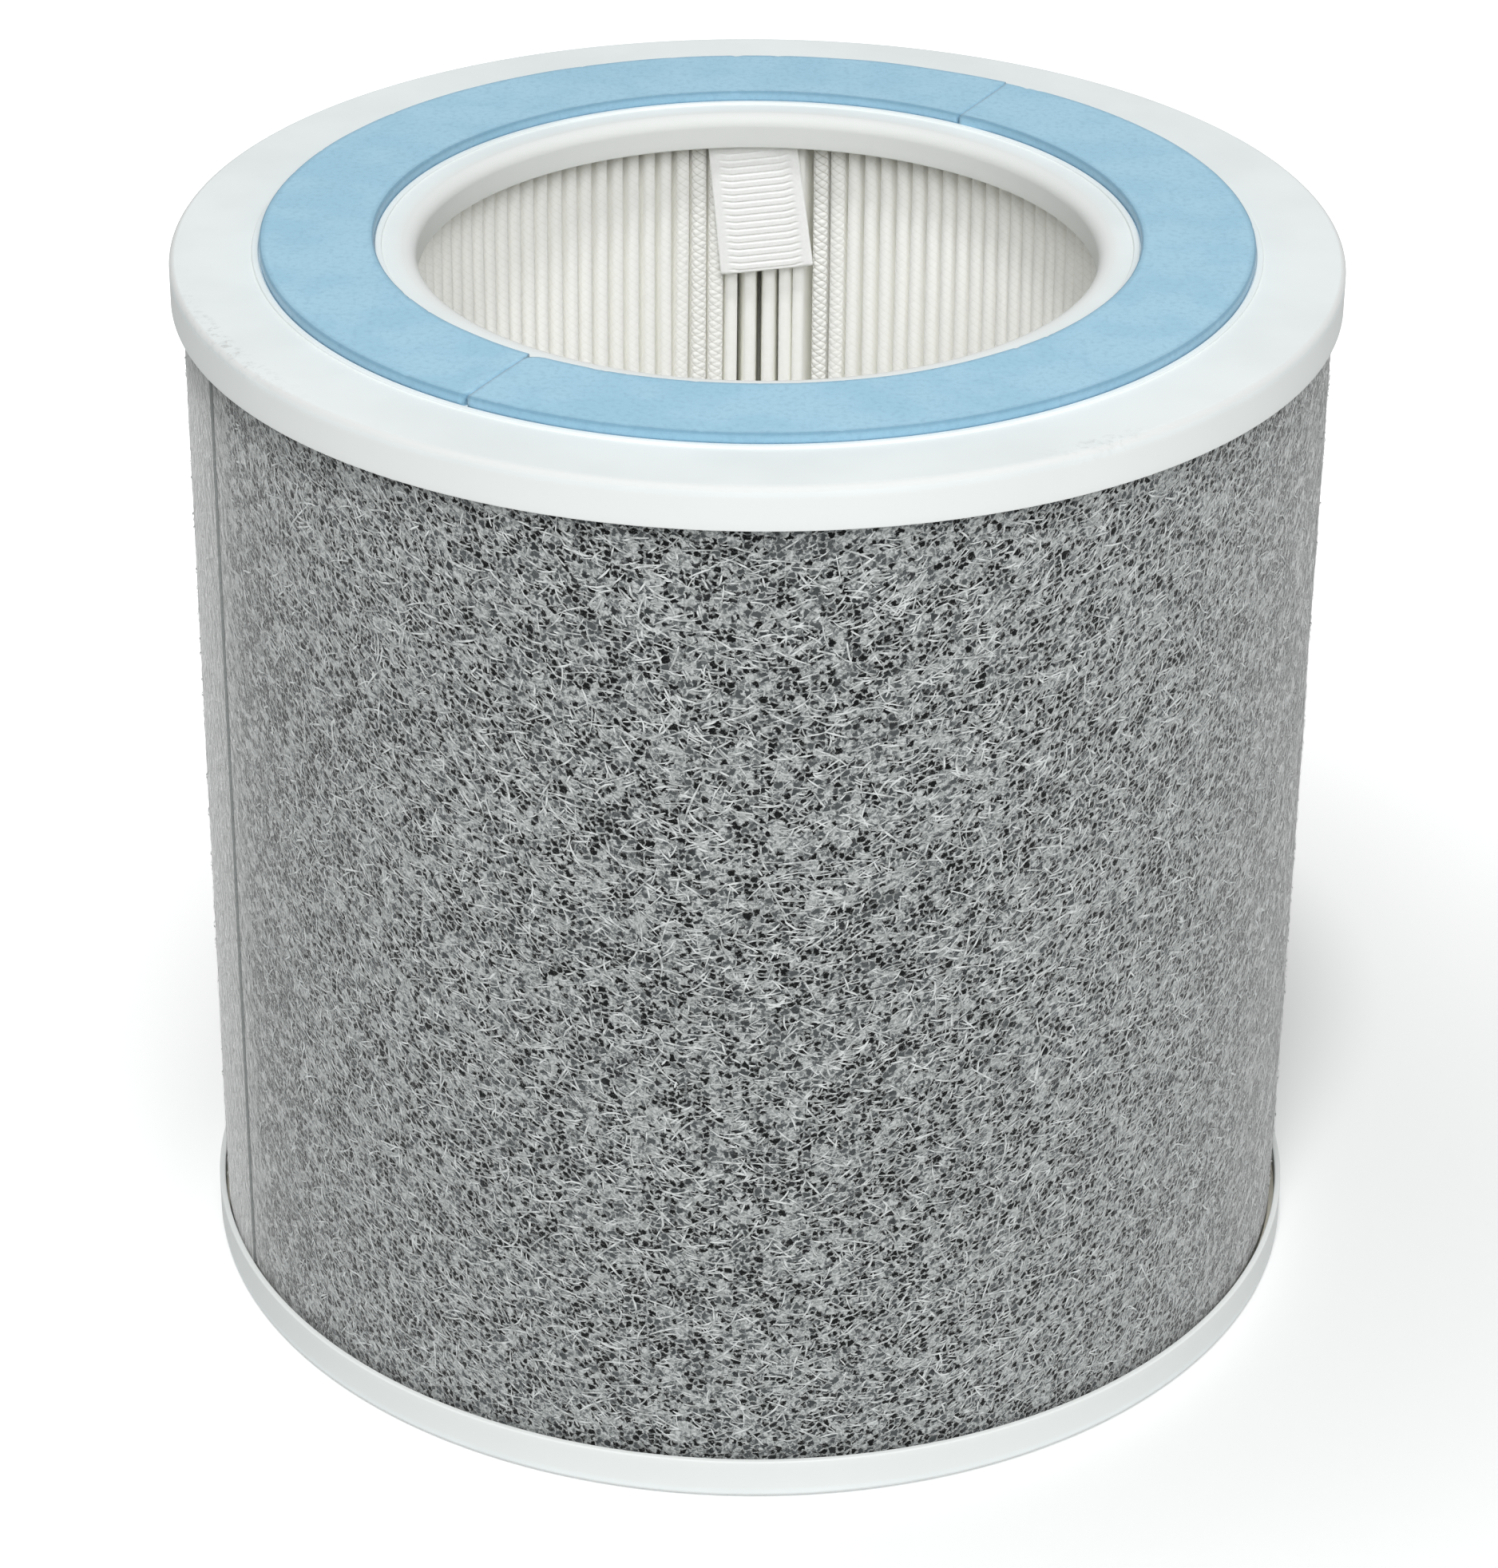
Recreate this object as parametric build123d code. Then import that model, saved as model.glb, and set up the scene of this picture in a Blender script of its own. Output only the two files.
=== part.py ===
from build123d import *
import math
import os

# Cylindrical filter cartridge for an air purifier, in millimetres.
# Z is the cartridge's axis and z = 0 is the face of the lower end cap.
# The pull tab hangs on the +Y side of the bore, at the gasket end.

# End caps: the same ring at both ends
filter_height = 210.5
cap_plate = 2.0
cap_rim_width = 15.4
skirt_height = 8.3
skirt_wall = 1.2
cap_edge_radius = 1.2
bore_radius = 64.0
collar_face_width = 6.5
collar_wall = 1.8
collar_depth = 6.8
collar_roll = 2.5
moulded_edge = 0.3

# Locating ribs: two low rings on the upper cap's face, with the gasket between them
rib_width = 1.2
rib_height = 0.45
rib_edge_radius = 0.25

# Foam gasket: two half rings stuck to the upper cap's face
gasket_width = 21.3
gasket_thickness = 1.9
gasket_rib_clearance = 0.2
gasket_edge_radius = 0.4
gasket_joint_gap = 0.4
gasket_joint_angle = 56.6
gasket_corner_along = 1.5
gasket_corner_across = 0.9

# Glue bed that each end of the pack stands in
glue_thickness = 2.5

# Carbon cloth wrap: one sheet, wound once, with its end lapped over its start
wrap_thickness = 0.8
wrap_skirt_clearance = 0.1
wrap_lap_gap = 0.1
wrap_end_angle = 203.4
wrap_lap_length = 25.0
wrap_ramp_length = 10.0

# Pull tab: a webbing loop whose two ends are glued behind the collar
tab_width = 18.5
tab_thickness = 0.8
tab_loop_gap = 0.3
tab_collar_clearance = 0.3
tab_drop = 27.0
tab_lean = 6.5
tab_offset = -0.3

# Pleated media: one folded sheet, closed into a ring
media_thickness = 0.55
media_wrap_clearance = 0.1
media_tab_clearance = 0.25
pleat_count = 128
seam_pleats = 6
seam_pitch_ratio = 1.13
seam_angle = 88.0
fold_flats = 4

# Radii and levels that follow from the sizes above
inner_rib_radius = bore_radius + collar_face_width
gasket_inner_radius = inner_rib_radius + rib_width + gasket_rib_clearance
gasket_outer_radius = gasket_inner_radius + gasket_width
outer_rib_radius = gasket_outer_radius + gasket_rib_clearance
cap_radius = outer_rib_radius + rib_width + cap_rim_width
skirt_inner_radius = cap_radius - skirt_wall
collar_outer_radius = bore_radius + collar_wall
wrap_lap_outer_radius = skirt_inner_radius - wrap_skirt_clearance
wrap_inner_radius = wrap_lap_outer_radius - 2 * wrap_thickness - wrap_lap_gap
pack_bottom = cap_plate + glue_thickness
pack_top = filter_height - pack_bottom
pack_height = pack_top - pack_bottom
collar_lip = filter_height - collar_depth
tab_front = collar_outer_radius + tab_collar_clearance
tab_depth = 2 * tab_thickness + tab_loop_gap
tab_reach = tab_width / 2 + abs(tab_offset) + tab_drop * math.tan(math.radians(tab_lean)) / 2
pleat_inner_radius = math.hypot(tab_front + tab_depth, tab_reach) + media_tab_clearance
pleat_outer_radius = wrap_inner_radius - media_wrap_clearance


def polar(radius, degrees):
    """Point at a radius and an angle in the plan view."""
    angle = math.radians(degrees)
    return Vector(radius * math.cos(angle), radius * math.sin(angle))


def corners_at(sketch, *places):
    """The corner of a sketch that is nearest to each place."""
    return [sketch.vertices().sort_by_distance(place)[0] for place in places]


def end_cap():
    """Moulded ring of an outer skirt, a flat face and a rolled collar.

    Its face is at z = 0 and its walls point down.
    """
    outline = [
        (bore_radius, -collar_depth),
        (bore_radius, 0),
        (cap_radius, 0),
        (cap_radius, -skirt_height),
        (skirt_inner_radius, -skirt_height),
        (skirt_inner_radius, -cap_plate),
        (collar_outer_radius, -cap_plate),
        (collar_outer_radius, -collar_depth),
    ]
    with BuildPart() as cap:
        with BuildSketch(Plane.XZ) as section:
            with BuildLine():
                Polyline(*outline, close=True)
            make_face()
            fillet(corners_at(section, (bore_radius, 0)), collar_roll)
            fillet(corners_at(section, (cap_radius, 0)), cap_edge_radius)
            wall_ends = corners_at(section, (bore_radius, -collar_depth), (cap_radius, -skirt_height))
            fillet(wall_ends, moulded_edge)
        revolve(axis=Axis.Z)
    return cap.part


def locating_rib(radius):
    """Low ring that stands on the cap's face, from this inner radius outwards."""
    with BuildPart() as rib:
        with BuildSketch():
            Circle(radius + rib_width)
            Circle(radius, mode=Mode.SUBTRACT)
        extrude(amount=rib_height)
        fillet(rib.faces().sort_by(Axis.Z)[-1].edges(), rib_edge_radius)
    return rib.part


def gasket_half(side):
    """Half ring of foam: side 1 is the half in front of the joint line, side -1 the one behind it."""
    joint = Rot(0, 0, gasket_joint_angle)
    start = (gasket_inner_radius, -side * gasket_joint_gap / 2)
    finish = (-gasket_inner_radius, -side * gasket_joint_gap / 2)
    with BuildPart() as half:
        with BuildSketch() as plan:
            Circle(gasket_outer_radius)
            Circle(gasket_inner_radius, mode=Mode.SUBTRACT)
            with Locations((0, -side * (gasket_joint_gap / 2 + gasket_outer_radius))):
                Rectangle(4 * gasket_outer_radius, 2 * gasket_outer_radius, mode=Mode.INTERSECT)
            cut_corner = corners_at(plan, finish if side == 1 else start)
            chamfer(cut_corner, gasket_corner_along, gasket_corner_across)
        extrude(amount=gasket_thickness)
        fillet(half.faces().sort_by(Axis.Z)[-1].edges(), gasket_edge_radius)
    return Pos(0, 0, filter_height) * joint * half.part


def glue_bed():
    """Flat ring of adhesive between a cap's skirt and collar, on the inside of its plate."""
    with BuildPart() as bed:
        with BuildSketch():
            Circle(skirt_inner_radius)
            Circle(collar_outer_radius, mode=Mode.SUBTRACT)
        extrude(amount=glue_thickness)
    return bed.part


def pleat_angles():
    """Angle of each inner fold, evenly spaced but for the wider pleats where the sheet is joined."""
    regular_pitch = 360 / (pleat_count + seam_pleats * (seam_pitch_ratio - 1))
    angles = [seam_angle - regular_pitch * seam_pitch_ratio * seam_pleats / 2]
    for pleat in range(pleat_count):
        at_seam = pleat < seam_pleats
        angles.append(angles[-1] + regular_pitch * (seam_pitch_ratio if at_seam else 1))
    return angles


def touch_point(centre, far_point, turn):
    """Where a line from a far point touches the fold's circle; turn picks the side, 1 or -1."""
    reach = (far_point - centre).length
    along = (far_point - centre) / reach
    across = Vector(-along.Y, along.X) * turn
    share = media_thickness / reach
    return centre + (along * share + across * math.sqrt(1 - share * share)) * media_thickness


def fold_outside(crease, before, after, turn):
    """Flats round the outside of a fold, from the face of one flank to the face of the next."""
    start = touch_point(crease, before, -turn) - crease
    finish = touch_point(crease, after, turn) - crease
    first = math.atan2(start.Y, start.X)
    swing = math.remainder(math.atan2(finish.Y, finish.X) - first, math.tau)
    corners = [first + swing * corner / fold_flats for corner in range(fold_flats + 1)]
    return [crease + Vector(math.cos(angle), math.sin(angle)) * media_thickness for angle in corners]


def pleated_media():
    """Zig-zag ring of sheet: each fold is rounded on its outside and creased on its inside."""
    angles = pleat_angles()
    middles = [(angles[pleat] + angles[pleat + 1]) / 2 for pleat in range(pleat_count)]
    inner = [polar(pleat_inner_radius + media_thickness, angle) for angle in angles[:-1]]
    outer = [polar(pleat_outer_radius - media_thickness, angle) for angle in middles]
    bore_side = []
    wrap_side = []
    for pleat in range(pleat_count):
        next_inner = inner[(pleat + 1) % pleat_count]
        bore_side += fold_outside(inner[pleat], outer[pleat - 1], outer[pleat], 1)
        bore_side.append(outer[pleat])
        wrap_side.append(inner[pleat])
        wrap_side += fold_outside(outer[pleat], inner[pleat], next_inner, -1)
    plan = Face(Wire.make_polygon(wrap_side), [Wire.make_polygon(bore_side)])
    return Pos(0, 0, pack_bottom) * extrude(plan, pack_height, dir=(0, 0, 1))


def carbon_wrap():
    """Sheet wound once round the pack, whose last stretch ramps up over its own start."""
    lap_angle = math.degrees(wrap_lap_length / wrap_lap_outer_radius)
    ramp_angle = math.degrees(wrap_ramp_length / wrap_lap_outer_radius)
    ramp_end = wrap_end_angle - lap_angle
    ramp_start = ramp_end - ramp_angle
    start_angle = ramp_end - 360
    half_way = (start_angle + ramp_start) / 2
    rise = wrap_thickness + wrap_lap_gap

    def face_line(radius):
        first = ThreePointArc(polar(radius, start_angle), polar(radius, half_way), polar(radius, ramp_start))
        ramp_middle = polar(radius + rise / 2, (ramp_start + ramp_end) / 2)
        ramp = ThreePointArc(first @ 1, ramp_middle, polar(radius + rise, ramp_end))
        lap_middle = polar(radius + rise, (ramp_end + wrap_end_angle) / 2)
        lap = ThreePointArc(ramp @ 1, lap_middle, polar(radius + rise, wrap_end_angle))
        return [first, ramp, lap]

    inside = face_line(wrap_inner_radius)
    outside = face_line(wrap_inner_radius + wrap_thickness)
    start_edge = Line(inside[0] @ 0, outside[0] @ 0)
    end_edge = Line(inside[2] @ 1, outside[2] @ 1)
    plan = Face(Wire(inside + outside + [start_edge, end_edge]))
    return Pos(0, 0, pack_bottom) * extrude(plan, pack_height, dir=(0, 0, 1))


def pull_tab():
    """Webbing folded into a flat loop, leaning a little as it hangs, with its ends in the glue."""
    fold_radius = tab_depth / 2
    inner_fold_radius = tab_loop_gap / 2
    fold_level = collar_lip - tab_drop + fold_radius
    strip_top = pack_top + tab_width
    fold_middle = tab_front + fold_radius
    with BuildPart() as tab:
        with BuildSketch(Plane.YZ):
            with Locations((fold_middle, fold_level)):
                Circle(fold_radius)
                Rectangle(tab_depth, strip_top - fold_level, align=(Align.CENTER, Align.MIN))
                Circle(inner_fold_radius, mode=Mode.SUBTRACT)
                slot_height = strip_top - fold_level
                slot_align = (Align.CENTER, Align.MIN)
                Rectangle(tab_loop_gap, slot_height, align=slot_align, mode=Mode.SUBTRACT)
        extrude(amount=tab_width / 2, both=True)
    hanging_point = (tab_offset, 0, collar_lip - tab_drop / 2)
    leaning = Pos(*hanging_point) * Rot(0, -tab_lean, 0) * Pos(0, 0, tab_drop / 2 - collar_lip) * tab.part
    above_glue = Pos(0, 0, pack_top) * Box(
        4 * tab_width, 4 * cap_radius, 4 * tab_width, align=(Align.CENTER, Align.CENTER, Align.MIN)
    )
    return leaning - above_glue


plain_cap = end_cap()
ribbed_cap = plain_cap + locating_rib(inner_rib_radius) + locating_rib(outer_rib_radius)
bed = glue_bed()
pieces = {
    "top_end_cap": Pos(0, 0, filter_height) * ribbed_cap,
    "bottom_end_cap": Rot(180, 0, 0) * plain_cap,
    "gasket_front_half": gasket_half(1),
    "gasket_back_half": gasket_half(-1),
    "top_glue_bed": Pos(0, 0, pack_top) * bed,
    "bottom_glue_bed": Pos(0, 0, cap_plate) * bed,
    "pleated_media": pleated_media(),
    "carbon_wrap": carbon_wrap(),
    "pull_tab": pull_tab(),
}

os.makedirs("parts", exist_ok=True)
for name, piece in pieces.items():
    export_step(piece, f"parts/{name}.step")
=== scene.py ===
import bpy
import numpy as np
from mathutils import Matrix, Vector


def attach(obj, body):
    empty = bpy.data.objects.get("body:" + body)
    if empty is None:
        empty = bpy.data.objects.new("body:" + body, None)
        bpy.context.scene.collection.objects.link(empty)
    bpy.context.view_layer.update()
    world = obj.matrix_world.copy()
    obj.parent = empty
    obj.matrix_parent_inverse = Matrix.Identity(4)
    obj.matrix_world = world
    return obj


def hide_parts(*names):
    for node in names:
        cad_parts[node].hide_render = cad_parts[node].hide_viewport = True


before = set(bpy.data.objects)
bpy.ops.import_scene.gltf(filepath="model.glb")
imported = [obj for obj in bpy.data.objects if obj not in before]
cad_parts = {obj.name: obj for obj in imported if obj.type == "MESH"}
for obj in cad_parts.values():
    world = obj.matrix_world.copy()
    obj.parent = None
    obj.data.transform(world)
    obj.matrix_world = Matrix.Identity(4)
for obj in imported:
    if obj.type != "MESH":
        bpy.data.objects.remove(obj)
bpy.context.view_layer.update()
MM = 0.001


# End caps
# Two white moulded rings, each a flat face with an outer skirt and a collar that rolls into the bore.
# The upper one has two low ribs that hold the gasket between them, and its front rim is a little battered.

CAP_RADIUS = 110.0 * MM
FACE_LEVEL = 210.5 * MM
SKIRT_HEIGHT = 8.3 * MM
SKIRT_WALL = 1.2 * MM
CAP_PLATE = 2.0 * MM
RIM_ROUND = 1.2 * MM
BORE_RADIUS = 64.0 * MM
COLLAR_WALL = 1.8 * MM
COLLAR_DEPTH = 6.8 * MM
COLLAR_ROLL = 2.5 * MM
WALL_ROUND = 0.3 * MM
INNER_RIB = 70.5 * MM
OUTER_RIB = 93.4 * MM
RIB_WIDTH = 1.2 * MM
RIB_HEIGHT = 0.45 * MM
RIB_ROUND = 0.2 * MM
CAP_TURN_STEPS = 420
ARC_STEP = 0.12 * MM
STRAIGHT_STEP = 1.6 * MM
CAP_WHITE = (235, 241, 241)
WALL_SHADE_WHITE = (226, 229, 227)
RIM_SHADE_WHITE = (220, 223, 222)
SCUFF_GREY = (196, 200, 199)
TONE_DRIFT = 7
DENTED_PLACES = ((-151, 13, 0.16 * MM, 11), (-57, 3, 0.25 * MM, 12))
RUBBED_PLACES = ((-152, 10, 0.75), (-57, 4, 0.5))
RUB_STARTS = 4.5 * MM
RUB_FULL = 2.6 * MM


def paint(red, green, blue):
    """A colour as it is seen, 0 to 255, turned into Blender's linear light by the sRGB curve."""
    seen = np.array([red, green, blue]) / 255
    linear = np.where(seen <= 0.04045, seen / 12.92, ((seen + 0.055) / 1.055) ** 2.4)
    return (*linear.tolist(), 1.0)


def smooth(value, start, end):
    """Goes from 0 at start to 1 at end as 3 t^2 - 2 t^3."""
    share = np.clip((value - start) / (end - start), 0, 1)
    return share * share * (3 - 2 * share)


def ripple(places, waves, longest, shortest, seed):
    """Sum of sine waves through space with random directions and phases, from -1 to 1."""
    rng = np.random.default_rng(seed)
    directions = rng.normal(size=(waves, 3))
    directions /= np.linalg.norm(directions, axis=1)[:, None]
    lengths = np.exp(rng.uniform(np.log(shortest), np.log(longest), waves))
    phases = rng.uniform(0, 2 * np.pi, waves)
    total = np.zeros(places.shape[:-1])
    for direction, length, phase in zip(directions, lengths, phases):
        total += np.sin(places @ direction * (2 * np.pi / length) + phase)
    return total / np.sqrt(waves) / 1.6


def piece_of(name, corners, faces):
    """Mesh of corners[number, xyz] and four-sided faces, as an object in the scene."""
    mesh = bpy.data.meshes.new(name)
    mesh.vertices.add(len(corners))
    mesh.vertices.foreach_set("co", corners.astype(np.float32).ravel())
    mesh.loops.add(faces.size)
    mesh.loops.foreach_set("vertex_index", faces.astype(np.int32).ravel())
    mesh.polygons.add(len(faces))
    mesh.polygons.foreach_set("loop_start", np.arange(0, faces.size, 4, dtype=np.int32))
    mesh.update(calc_edges=True)
    mesh.validate()
    mesh.shade_smooth()
    piece = bpy.data.objects.new(name, mesh)
    bpy.context.scene.collection.objects.link(piece)
    return piece


def surface(name, points, wrap_rows=False, wrap_columns=False, lids=False):
    """Mesh of a grid of points[row, column]: each cell of the grid is one four-sided face.

    A wrapped direction joins its last line to its first. Lids close the two ends of a wrapped section.
    """
    rows, columns = points.shape[:2]
    index = np.arange(rows * columns).reshape(rows, columns)
    left = index if wrap_columns else index[:, :-1]
    right = np.roll(index, -1, axis=1) if wrap_columns else index[:, 1:]
    low, low_next = (side if wrap_rows else side[:-1] for side in (left, right))
    high, high_next = (np.roll(side, -1, axis=0) if wrap_rows else side[1:] for side in (left, right))
    faces = np.stack([low, low_next, high_next, high], axis=-1).reshape(-1, 4)
    if lids:
        half = columns // 2
        for row, flip in ((0, 1), (rows - 1, -1)):
            top = index[row, :half]
            bottom = index[row, :half - 1:-1]
            lid = np.stack([top[:-1], bottom[:-1], bottom[1:], top[1:]], axis=-1)
            faces = np.concatenate([faces, lid[:, ::flip]])
    corners = points.reshape(-1, 3)
    a, b, c, d = (corners[faces[:, corner]] for corner in range(4))
    volume = np.einsum("ij,ij->", np.cross(b - a, c - a), a) + np.einsum("ij,ij->", np.cross(c - a, d - a), a)
    closed = (wrap_rows and wrap_columns) or lids
    return piece_of(name, corners, faces[:, ::-1] if closed and volume < 0 else faces)


def rounded(corners, step):
    """Closed outline through (r, z, radius) corners, each turned by an arc of its radius.

    The arcs and the straight runs between them get points at most one step of their own apart.
    """
    spots = []
    total = len(corners)
    for number in range(total):
        before, here, after = (np.array(corners[(number + shift) % total][:2]) for shift in (-1, 0, 1))
        radius = corners[number][2]
        inward = (before - here) / np.linalg.norm(before - here)
        outward = (after - here) / np.linalg.norm(after - here)
        turn = np.arccos(np.clip(inward @ outward, -1, 1))
        setback = radius / np.tan(turn / 2)
        centre = here + (inward + outward) / np.linalg.norm(inward + outward) * radius / np.sin(turn / 2)
        count = max(4, int(np.ceil((np.pi - turn) * radius / ARC_STEP)))
        share = np.linspace(0, 1, count + 1)[:, None]
        chord = (here + inward * setback) * (1 - share) + (here + outward * setback) * share - centre
        spots.append(centre + chord / np.linalg.norm(chord, axis=1)[:, None] * radius)
    outline = []
    for number in range(total):
        start, end = spots[number][-1], spots[(number + 1) % total][0]
        count = max(1, int(np.ceil(np.linalg.norm(end - start) / step)))
        outline.append(spots[number])
        outline.append(start + (end - start) * np.linspace(0, 1, count + 1)[1:-1, None])
    return np.concatenate(outline)


def cap_section(ribbed):
    """Section of a cap as (r, z), with its face at z = 0 and its walls hanging down from it."""
    skirt_inside = CAP_RADIUS - SKIRT_WALL
    collar_outside = BORE_RADIUS + COLLAR_WALL
    corners = [(BORE_RADIUS, -COLLAR_DEPTH, WALL_ROUND), (BORE_RADIUS, 0, COLLAR_ROLL)]
    if ribbed:
        for start in (INNER_RIB, OUTER_RIB):
            end = start + RIB_WIDTH
            corners += [(start, 0, RIB_ROUND), (start, RIB_HEIGHT, RIB_ROUND)]
            corners += [(end, RIB_HEIGHT, RIB_ROUND), (end, 0, RIB_ROUND)]
    corners += [
        (CAP_RADIUS, 0, RIM_ROUND),
        (CAP_RADIUS, -SKIRT_HEIGHT, WALL_ROUND),
        (skirt_inside, -SKIRT_HEIGHT, WALL_ROUND),
        (skirt_inside, -CAP_PLATE, WALL_ROUND),
        (collar_outside, -CAP_PLATE, WALL_ROUND),
        (collar_outside, -COLLAR_DEPTH, WALL_ROUND),
    ]
    return rounded(corners, STRAIGHT_STEP)


def turned(section, steps):
    """Carries a section (r, z) round the axis: x = r cos a, y = r sin a."""
    angle = np.linspace(0, 2 * np.pi, steps, endpoint=False)[:, None]
    radius, level = section[None, :, 0], section[None, :, 1]
    return np.stack([radius * np.cos(angle), radius * np.sin(angle), level + 0 * angle], axis=-1)


def battered(points, azimuth, spread, depth, seed):
    """Presses small dents into the rounded rim round one azimuth, deepest on the rounding itself.

    They fade as exp(-(a / spread)^2), with a the angle from that azimuth in degrees.
    """
    radius = np.hypot(points[..., 0], points[..., 1])
    angle = np.degrees(np.arctan2(points[..., 1], points[..., 0]))
    away = (angle - azimuth + 180) % 360 - 180
    along = np.exp(-((away / spread) ** 2))
    corner_gap = np.hypot(radius - (CAP_RADIUS - 0.5 * MM), points[..., 2] - (FACE_LEVEL - 0.5 * MM))
    near_rim = 1 - smooth(corner_gap, 0.6 * MM, 4.0 * MM)
    dents = np.clip(ripple(points, 24, 22 * MM, 6 * MM, seed) + 0.25, 0, None)
    press = along * near_rim * dents * depth
    points[..., 2] -= press * 0.9
    points[..., :2] *= (1 - press * 0.7 / radius)[..., None]
    return points


def put(tree, kind, links=None, **settings):
    """Adds a node; links are its input sockets, given as values or as the output sockets that feed them."""
    node = tree.nodes.new(kind)
    for name, value in settings.items():
        setattr(node, name, value)
    for socket, value in (links or {}).items():
        if isinstance(value, bpy.types.NodeSocket):
            tree.links.new(value, node.inputs[socket])
        else:
            node.inputs[socket].default_value = value
    return node


def maths(tree, operation, first, second=0.0, third=0.0):
    """One Math node, as its output socket."""
    return put(tree, "ShaderNodeMath", {0: first, 1: second, 2: third}, operation=operation).outputs[0]


def ranged(tree, value, from_low, from_high, to_low=0.0, to_high=1.0):
    """Maps one range of a value on to another, smoothly and clamped."""
    links = {"Value": value, "From Min": from_low, "From Max": from_high, "To Min": to_low, "To Max": to_high}
    return put(tree, "ShaderNodeMapRange", links, interpolation_type="SMOOTHSTEP").outputs["Result"]


def mixed(tree, share, first, second):
    """Mixes two colours by a share."""
    links = {0: share, 6: first, 7: second}
    return put(tree, "ShaderNodeMix", links, data_type="RGBA").outputs[2]


def noise(tree, place, size, detail=2.0, roughness=0.5, distortion=0.0, space="3D"):
    """Noise whose blobs are about one size across, in metres."""
    links = {"Vector": place, "Scale": 1 / size}
    links |= {"Detail": detail, "Roughness": roughness, "Distortion": distortion}
    return put(tree, "ShaderNodeTexNoise", links, noise_dimensions=space).outputs["Fac"]


def new_finish(name, roughness, **plain):
    """A material with its Principled shader; plain are sockets that are the same all over."""
    finish = bpy.data.materials.new(name)
    finish.use_nodes = True
    tree = finish.node_tree
    tree.nodes.clear()
    shader = put(tree, "ShaderNodeBsdfPrincipled", {"Roughness": roughness, **plain})
    put(tree, "ShaderNodeOutputMaterial", {"Surface": shader.outputs[0]})
    return finish, tree, shader


def feed(tree, shader, **sockets):
    """Feeds named outputs to the shader's sockets; an underscore stands for a space."""
    for name, output in sockets.items():
        tree.links.new(output, shader.inputs[name.replace("_", " ")])


def relief(tree, height, strength, distance):
    """Bump whose height is in shares of a distance in metres."""
    links = {"Height": height, "Strength": strength, "Distance": distance}
    return put(tree, "ShaderNodeBump", links).outputs["Normal"]


def effect(name, inputs, outputs):
    """A node group with number and vector inputs, and number outputs."""
    group = bpy.data.node_groups.new(name, "ShaderNodeTree")
    for label, kind, value in inputs:
        socket = group.interface.new_socket(label, in_out="INPUT", socket_type=kind)
        if value is not None:
            socket.default_value = value
    for label in outputs:
        group.interface.new_socket(label, in_out="OUTPUT", socket_type="NodeSocketFloat")
    return group, put(group, "NodeGroupInput"), put(group, "NodeGroupOutput")


def make_cloudy_tone():
    """Slow drift of tone with a finer drift on it, for anything moulded, foamed or woven."""
    inputs = [("Place", "NodeSocketVector", None), ("Size", "NodeSocketFloat", 0.02)]
    group, given, wanted = effect("cloudy_tone", inputs, ["Tone", "Fine"])
    scale = maths(group, "DIVIDE", 1.0, given.outputs["Size"])
    links = {"Vector": given.outputs["Place"], "Scale": scale, "Detail": 3.0}
    slow = put(group, "ShaderNodeTexNoise", links)
    links = {"Vector": given.outputs["Place"], "Scale": maths(group, "MULTIPLY", scale, 9.0), "Detail": 4.0}
    fine = put(group, "ShaderNodeTexNoise", links)
    group.links.new(slow.outputs["Fac"], wanted.inputs["Tone"])
    group.links.new(fine.outputs["Fac"], wanted.inputs["Fine"])
    return group


def use(tree, group, **sockets):
    """Places a node group in a material with its own values."""
    node = put(tree, "ShaderNodeGroup", node_tree=group)
    for name, value in sockets.items():
        if isinstance(value, bpy.types.NodeSocket):
            tree.links.new(value, node.inputs[name])
        else:
            node.inputs[name].default_value = value
    return node


cloudy_tone = make_cloudy_tone()


def moulded_white():
    """Satin white plastic: faint clouds and a fine grain, scuffed in places; painted shade greys its walls
    and the rounding of its rim.
    """
    finish, tree, shader = new_finish("moulded_white", 0.6, **{"Specular IOR Level": 0.16})
    place = put(tree, "ShaderNodeTexCoord").outputs["Object"]
    clouds = use(tree, cloudy_tone, Place=place, Size=0.03)
    grain = noise(tree, place, 0.35 * MM, 3.0, 0.6)
    white = paint(*CAP_WHITE)
    dull = paint(*(tone - TONE_DRIFT for tone in CAP_WHITE))
    base = mixed(tree, ranged(tree, clouds.outputs["Tone"], 0.3, 0.7), dull, white)
    # Painted shade: the collar, the skirts and the rounding of the rim are greyed.
    for name, tone in (("walls", WALL_SHADE_WHITE), ("rim", RIM_SHADE_WHITE)):
        share = put(tree, "ShaderNodeAttribute", attribute_name=name).outputs["Fac"]
        base = mixed(tree, share, base, paint(*tone))
    rub = put(tree, "ShaderNodeAttribute", attribute_name="rubbed").outputs["Fac"]
    specks = ranged(tree, noise(tree, place, 1.4 * MM, 5.0, 0.65, 0.4), 0.48, 0.66)
    base = mixed(tree, maths(tree, "MULTIPLY", rub, specks), base, paint(*SCUFF_GREY))
    feed(tree, shader, Base_Color=base)
    feed(tree, shader, Roughness=ranged(tree, clouds.outputs["Fine"], 0.3, 0.7, 0.55, 0.66))
    feed(tree, shader, Normal=relief(tree, grain, 0.12, 0.05 * MM))
    return finish


def mark(piece, name, values):
    """Writes one number for each vertex as a named attribute."""
    held = piece.data.attributes.new(name, "FLOAT", "POINT")
    held.data.foreach_set("value", np.asarray(values, np.float32).ravel())


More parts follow.
